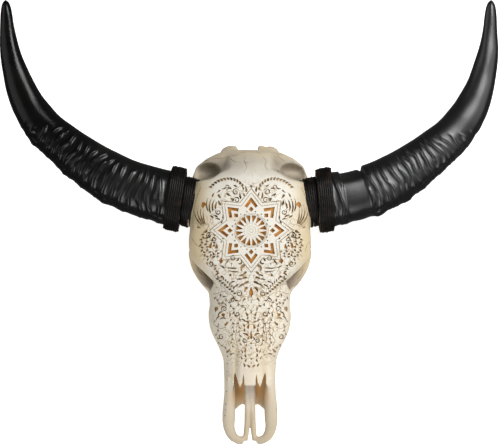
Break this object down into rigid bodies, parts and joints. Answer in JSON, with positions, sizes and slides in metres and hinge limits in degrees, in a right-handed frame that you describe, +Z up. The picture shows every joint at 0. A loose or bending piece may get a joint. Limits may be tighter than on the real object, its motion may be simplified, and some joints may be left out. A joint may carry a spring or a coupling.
{
  "type": "carved buffalo skull",
  "caption": "Life-size water-buffalo skull with long black horns, a carved star on the forehead and dark cord wound round the horn roots, lying at rest without its lower jaw.",
  "frame": {"origin": "on the floor, under the middle of the part's box", "axes": "+X to the viewer's right across the horns, +Y from the muzzle to the back of the head, +Z up"},
  "size_m": [0.8746, 0.76, 0.2166],
  "materials": {
    "bone": "dry, bleached bone, satin on the forehead, browner in the carved hollows",
    "horn": "polished black horn with cross wrinkles near the root",
    "cord": "black waxed twisted cord"
  },
  "bodies": {
    "root": {"frontal": "bone", "occipital": "bone", "skull_base": "bone", "nasal_left": "bone", "nasal_right": "bone", "maxilla_left": "bone", "maxilla_right": "bone", "premaxilla_left": "bone", "premaxilla_right": "bone", "zygomatic_left": "bone", "zygomatic_right": "bone", "horn_left": "horn", "horn_right": "horn", "cord_inner_left": "cord", "cord_inner_right": "cord", "cord_outer_left": "cord", "cord_outer_right": "cord"}
  },
  "joints": []
}
